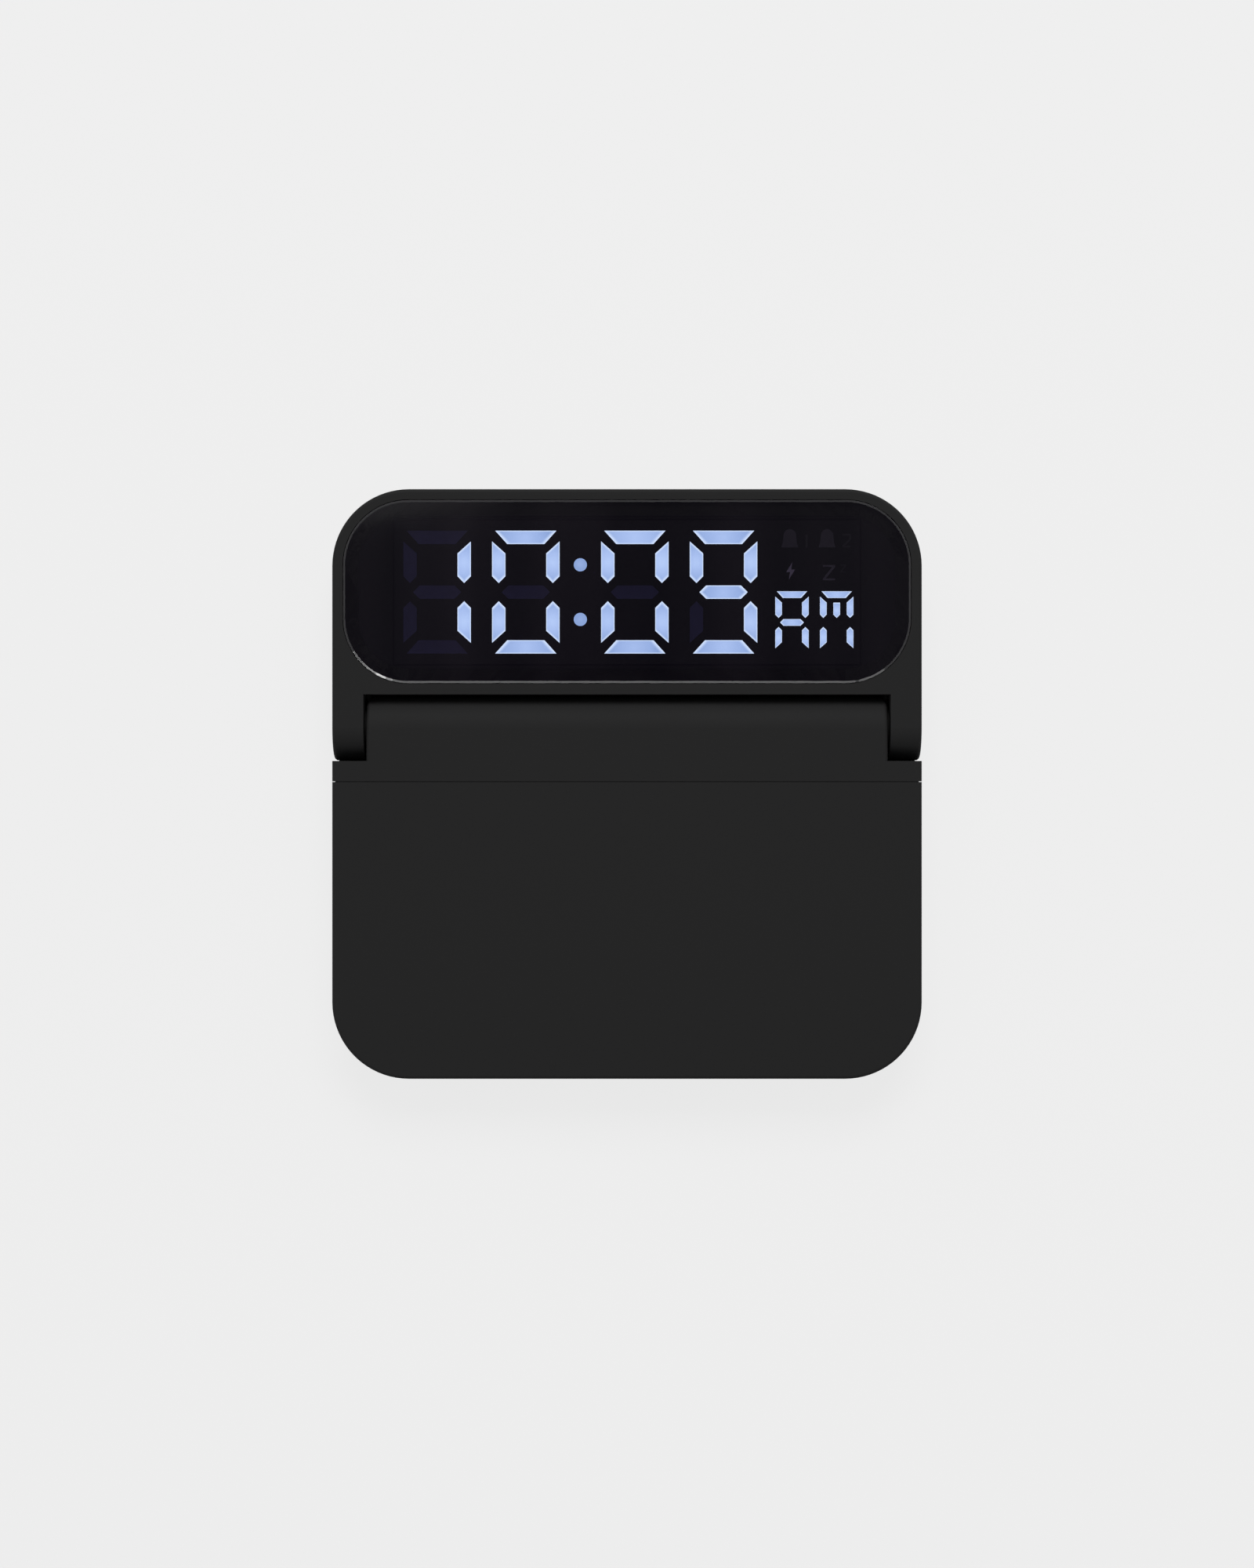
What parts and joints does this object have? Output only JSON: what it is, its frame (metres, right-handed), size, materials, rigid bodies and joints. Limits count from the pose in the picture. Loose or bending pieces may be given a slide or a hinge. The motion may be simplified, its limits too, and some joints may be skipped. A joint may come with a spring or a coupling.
{
  "type": "wireless charging alarm clock",
  "caption": "Flat folding alarm clock: a hinged head with a smoked digital display and push buttons on its back, over a base with a wireless charging pad.",
  "frame": {"origin": "on the table, under the middle of the clock as it lies open on its feet", "axes": "+X to the right of the display, +Y towards the display's top edge, +Z out of the display"},
  "size_m": [0.1, 0.1, 0.012],
  "materials": {
    "case_plastic": "satin black, soft to the touch",
    "button_plastic": "matte black",
    "smoked_lens": "polished, smoked",
    "lens_tape": "matte black",
    "foot_rubber": "matte",
    "screw_steel": "zinc plated",
    "hinge_steel": "turned",
    "inlet_steel": "nickel plated",
    "part_steel": "nickel plated",
    "copper_wire": "enamelled copper",
    "ferrite": "dull grey",
    "board_laminate": "solder mask green",
    "chip_resin": "moulded black",
    "capacitor_ceramic": "dull tan",
    "plug_nylon": "natural white",
    "lead_jacket": "matte black",
    "light_box_plastic": "black face",
    "segment_lit": "glowing cool white",
    "segment_unlit": "dark, unlit",
    "light_chip": "resin"
  },
  "bodies": {
    "base": {"base_tray": "case_plastic", "charging_plate": "case_plastic", "hinge_cover": "case_plastic", "base_feet": "foot_rubber", "base_screws": "screw_steel", "charging_coil": "copper_wire", "coil_leads": "copper_wire", "ferrite_shield": "ferrite", "charger_board": "board_laminate", "controller_chip": "chip_resin", "power_inductor": "chip_resin", "resonant_capacitors": "capacitor_ceramic", "board_connector": "plug_nylon", "board_screws": "screw_steel", "usb_shell": "inlet_steel", "usb_tongue": "chip_resin", "friction_clip": "hinge_steel", "cable_trunnion": "hinge_steel", "base_lead": "lead_jacket"},
    "head": {"head_frame": "case_plastic", "rear_cover": "case_plastic", "display_lens": "smoked_lens", "lens_tape": "lens_tape", "light_box": "light_box_plastic", "lit_segments": "segment_lit", "unlit_segments": "segment_unlit", "status_symbols": "segment_unlit", "segment_lights": "light_chip", "display_board": "board_laminate", "clock_chip": "chip_resin", "clock_crystal": "part_steel", "sounder": "chip_resin", "backup_cell": "part_steel", "cell_clip": "part_steel", "push_switches": "chip_resin", "display_connector": "plug_nylon", "head_lead": "lead_jacket", "head_screws": "screw_steel", "head_foot": "foot_rubber", "hinge_pin": "hinge_steel", "hinge_washers": "chip_resin", "pin_ring": "hinge_steel"},
    "set_button": {"set_button": "button_plastic"},
    "up_button": {"up_button": "button_plastic"},
    "down_button": {"down_button": "button_plastic"},
    "alarm_button": {"alarm_button": "button_plastic"}
  },
  "joints": [
    {"name": "head_tilt", "type": "hinge", "parent": "base", "child": "head", "pos_m": [0, 0.00955, 0.0063], "axis": [1, 0, 0], "range_deg": [0, 90]},
    {"name": "set_press", "type": "slide", "parent": "head", "child": "set_button", "axis": [0, 0, 1], "range_m": [0, 0.0004], "stiffness_N_per_m": 800},
    {"name": "up_press", "type": "slide", "parent": "head", "child": "up_button", "axis": [0, 0, 1], "range_m": [0, 0.0004], "stiffness_N_per_m": 800},
    {"name": "down_press", "type": "slide", "parent": "head", "child": "down_button", "axis": [0, 0, 1], "range_m": [0, 0.0004], "stiffness_N_per_m": 800},
    {"name": "alarm_press", "type": "slide", "parent": "head", "child": "alarm_button", "axis": [0, 0, 1], "range_m": [0, 0.0004], "stiffness_N_per_m": 800}
  ]
}
